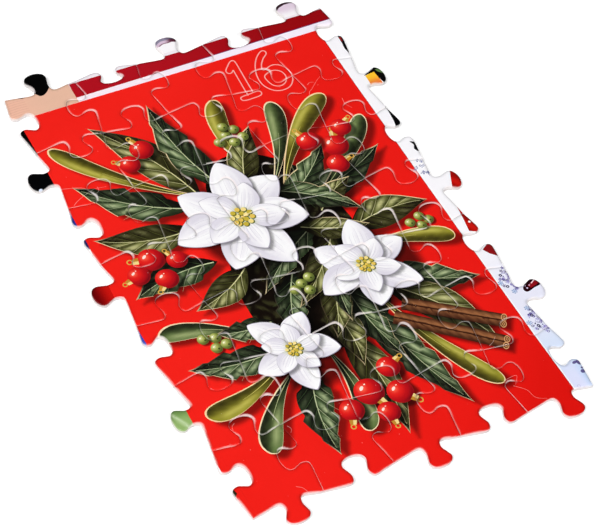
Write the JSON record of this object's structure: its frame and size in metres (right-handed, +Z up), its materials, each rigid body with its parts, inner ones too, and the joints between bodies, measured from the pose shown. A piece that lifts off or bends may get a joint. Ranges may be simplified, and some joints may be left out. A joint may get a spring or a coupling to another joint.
{
  "type": "jigsaw puzzle calendar section",
  "caption": "Flat field of interlocking die-cut cardboard jigsaw pieces, glossy printed face up, knobs and sockets left open along the rim to join the next section.",
  "frame": {"origin": "on the underside of the pieces, at the middle of the laid section's box", "axes": "+X to the right along the rows of pieces, +Y up the picture towards the top row, +Z up out of the printed face"},
  "size_m": [0.1056, 0.1522, 0.0015],
  "materials": {
    "red_print": "glossy red print on solid greyboard, white cut edges",
    "dark_red_print": "glossy dark red, white and red print on solid greyboard, white cut edges",
    "green_print": "glossy many-coloured print, mostly dark green, on solid greyboard, white cut edges"
  },
  "bodies": {
    "piece_r1_c1": {"piece_r1_c1": "dark_red_print"},
    "piece_r1_c2": {"piece_r1_c2": "dark_red_print"},
    "piece_r1_c3": {"piece_r1_c3": "dark_red_print"},
    "piece_r1_c4": {"piece_r1_c4": "dark_red_print"},
    "piece_r1_c5": {"piece_r1_c5": "dark_red_print"},
    "piece_r2_c1": {"piece_r2_c1": "red_print"},
    "piece_r2_c2": {"piece_r2_c2": "red_print"},
    "piece_r2_c3": {"piece_r2_c3": "red_print"},
    "piece_r2_c4": {"piece_r2_c4": "red_print"},
    "piece_r2_c5": {"piece_r2_c5": "red_print"},
    "piece_r3_c1": {"piece_r3_c1": "red_print"},
    "piece_r3_c2": {"piece_r3_c2": "green_print"},
    "piece_r3_c3": {"piece_r3_c3": "green_print"},
    "piece_r3_c4": {"piece_r3_c4": "green_print"},
    "piece_r3_c5": {"piece_r3_c5": "red_print"},
    "piece_r4_c1": {"piece_r4_c1": "red_print"},
    "piece_r4_c2": {"piece_r4_c2": "green_print"},
    "piece_r4_c3": {"piece_r4_c3": "green_print"},
    "piece_r4_c4": {"piece_r4_c4": "green_print"},
    "piece_r4_c5": {"piece_r4_c5": "red_print"},
    "piece_r5_c1": {"piece_r5_c1": "red_print"},
    "piece_r5_c2": {"piece_r5_c2": "green_print"},
    "piece_r5_c3": {"piece_r5_c3": "green_print"},
    "piece_r5_c4": {"piece_r5_c4": "green_print"},
    "piece_r5_c5": {"piece_r5_c5": "red_print"},
    "piece_r6_c1": {"piece_r6_c1": "red_print"},
    "piece_r6_c2": {"piece_r6_c2": "green_print"},
    "piece_r6_c3": {"piece_r6_c3": "green_print"},
    "piece_r6_c4": {"piece_r6_c4": "green_print"},
    "piece_r6_c5": {"piece_r6_c5": "red_print"},
    "piece_r7_c1": {"piece_r7_c1": "red_print"},
    "piece_r7_c2": {"piece_r7_c2": "red_print"},
    "piece_r7_c3": {"piece_r7_c3": "red_print"},
    "piece_r7_c4": {"piece_r7_c4": "red_print"},
    "piece_r7_c5": {"piece_r7_c5": "red_print"}
  },
  "joints": [
    {"name": "lift_r1_c1", "type": "slide", "parent": "piece_r4_c3", "child": "piece_r1_c1", "axis": [0, 0, 1], "range_m": [0, 0.02]},
    {"name": "lift_r1_c2", "type": "slide", "parent": "piece_r4_c3", "child": "piece_r1_c2", "axis": [0, 0, 1], "range_m": [0, 0.02]},
    {"name": "lift_r1_c3", "type": "slide", "parent": "piece_r4_c3", "child": "piece_r1_c3", "axis": [0, 0, 1], "range_m": [0, 0.02]},
    {"name": "lift_r1_c4", "type": "slide", "parent": "piece_r4_c3", "child": "piece_r1_c4", "axis": [0, 0, 1], "range_m": [0, 0.02]},
    {"name": "lift_r1_c5", "type": "slide", "parent": "piece_r4_c3", "child": "piece_r1_c5", "axis": [0, 0, 1], "range_m": [0, 0.02]},
    {"name": "lift_r2_c1", "type": "slide", "parent": "piece_r4_c3", "child": "piece_r2_c1", "axis": [0, 0, 1], "range_m": [0, 0.02]},
    {"name": "lift_r2_c2", "type": "slide", "parent": "piece_r4_c3", "child": "piece_r2_c2", "axis": [0, 0, 1], "range_m": [0, 0.02]},
    {"name": "lift_r2_c3", "type": "slide", "parent": "piece_r4_c3", "child": "piece_r2_c3", "axis": [0, 0, 1], "range_m": [0, 0.02]},
    {"name": "lift_r2_c4", "type": "slide", "parent": "piece_r4_c3", "child": "piece_r2_c4", "axis": [0, 0, 1], "range_m": [0, 0.02]},
    {"name": "lift_r2_c5", "type": "slide", "parent": "piece_r4_c3", "child": "piece_r2_c5", "axis": [0, 0, 1], "range_m": [0, 0.02]},
    {"name": "lift_r3_c1", "type": "slide", "parent": "piece_r4_c3", "child": "piece_r3_c1", "axis": [0, 0, 1], "range_m": [0, 0.02]},
    {"name": "lift_r3_c2", "type": "slide", "parent": "piece_r4_c3", "child": "piece_r3_c2", "axis": [0, 0, 1], "range_m": [0, 0.02]},
    {"name": "lift_r3_c3", "type": "slide", "parent": "piece_r4_c3", "child": "piece_r3_c3", "axis": [0, 0, 1], "range_m": [0, 0.02]},
    {"name": "lift_r3_c4", "type": "slide", "parent": "piece_r4_c3", "child": "piece_r3_c4", "axis": [0, 0, 1], "range_m": [0, 0.02]},
    {"name": "lift_r3_c5", "type": "slide", "parent": "piece_r4_c3", "child": "piece_r3_c5", "axis": [0, 0, 1], "range_m": [0, 0.02]},
    {"name": "lift_r4_c1", "type": "slide", "parent": "piece_r4_c3", "child": "piece_r4_c1", "axis": [0, 0, 1], "range_m": [0, 0.02]},
    {"name": "lift_r4_c2", "type": "slide", "parent": "piece_r4_c3", "child": "piece_r4_c2", "axis": [0, 0, 1], "range_m": [0, 0.02]},
    {"name": "lift_r4_c4", "type": "slide", "parent": "piece_r4_c3", "child": "piece_r4_c4", "axis": [0, 0, 1], "range_m": [0, 0.02]},
    {"name": "lift_r4_c5", "type": "slide", "parent": "piece_r4_c3", "child": "piece_r4_c5", "axis": [0, 0, 1], "range_m": [0, 0.02]},
    {"name": "lift_r5_c1", "type": "slide", "parent": "piece_r4_c3", "child": "piece_r5_c1", "axis": [0, 0, 1], "range_m": [0, 0.02]},
    {"name": "lift_r5_c2", "type": "slide", "parent": "piece_r4_c3", "child": "piece_r5_c2", "axis": [0, 0, 1], "range_m": [0, 0.02]},
    {"name": "lift_r5_c3", "type": "slide", "parent": "piece_r4_c3", "child": "piece_r5_c3", "axis": [0, 0, 1], "range_m": [0, 0.02]},
    {"name": "lift_r5_c4", "type": "slide", "parent": "piece_r4_c3", "child": "piece_r5_c4", "axis": [0, 0, 1], "range_m": [0, 0.02]},
    {"name": "lift_r5_c5", "type": "slide", "parent": "piece_r4_c3", "child": "piece_r5_c5", "axis": [0, 0, 1], "range_m": [0, 0.02]},
    {"name": "lift_r6_c1", "type": "slide", "parent": "piece_r4_c3", "child": "piece_r6_c1", "axis": [0, 0, 1], "range_m": [0, 0.02]},
    {"name": "lift_r6_c2", "type": "slide", "parent": "piece_r4_c3", "child": "piece_r6_c2", "axis": [0, 0, 1], "range_m": [0, 0.02]},
    {"name": "lift_r6_c3", "type": "slide", "parent": "piece_r4_c3", "child": "piece_r6_c3", "axis": [0, 0, 1], "range_m": [0, 0.02]},
    {"name": "lift_r6_c4", "type": "slide", "parent": "piece_r4_c3", "child": "piece_r6_c4", "axis": [0, 0, 1], "range_m": [0, 0.02]},
    {"name": "lift_r6_c5", "type": "slide", "parent": "piece_r4_c3", "child": "piece_r6_c5", "axis": [0, 0, 1], "range_m": [0, 0.02]},
    {"name": "lift_r7_c1", "type": "slide", "parent": "piece_r4_c3", "child": "piece_r7_c1", "axis": [0, 0, 1], "range_m": [0, 0.02]},
    {"name": "lift_r7_c2", "type": "slide", "parent": "piece_r4_c3", "child": "piece_r7_c2", "axis": [0, 0, 1], "range_m": [0, 0.02]},
    {"name": "lift_r7_c3", "type": "slide", "parent": "piece_r4_c3", "child": "piece_r7_c3", "axis": [0, 0, 1], "range_m": [0, 0.02]},
    {"name": "lift_r7_c4", "type": "slide", "parent": "piece_r4_c3", "child": "piece_r7_c4", "axis": [0, 0, 1], "range_m": [0, 0.02]},
    {"name": "lift_r7_c5", "type": "slide", "parent": "piece_r4_c3", "child": "piece_r7_c5", "axis": [0, 0, 1], "range_m": [0, 0.02]}
  ]
}
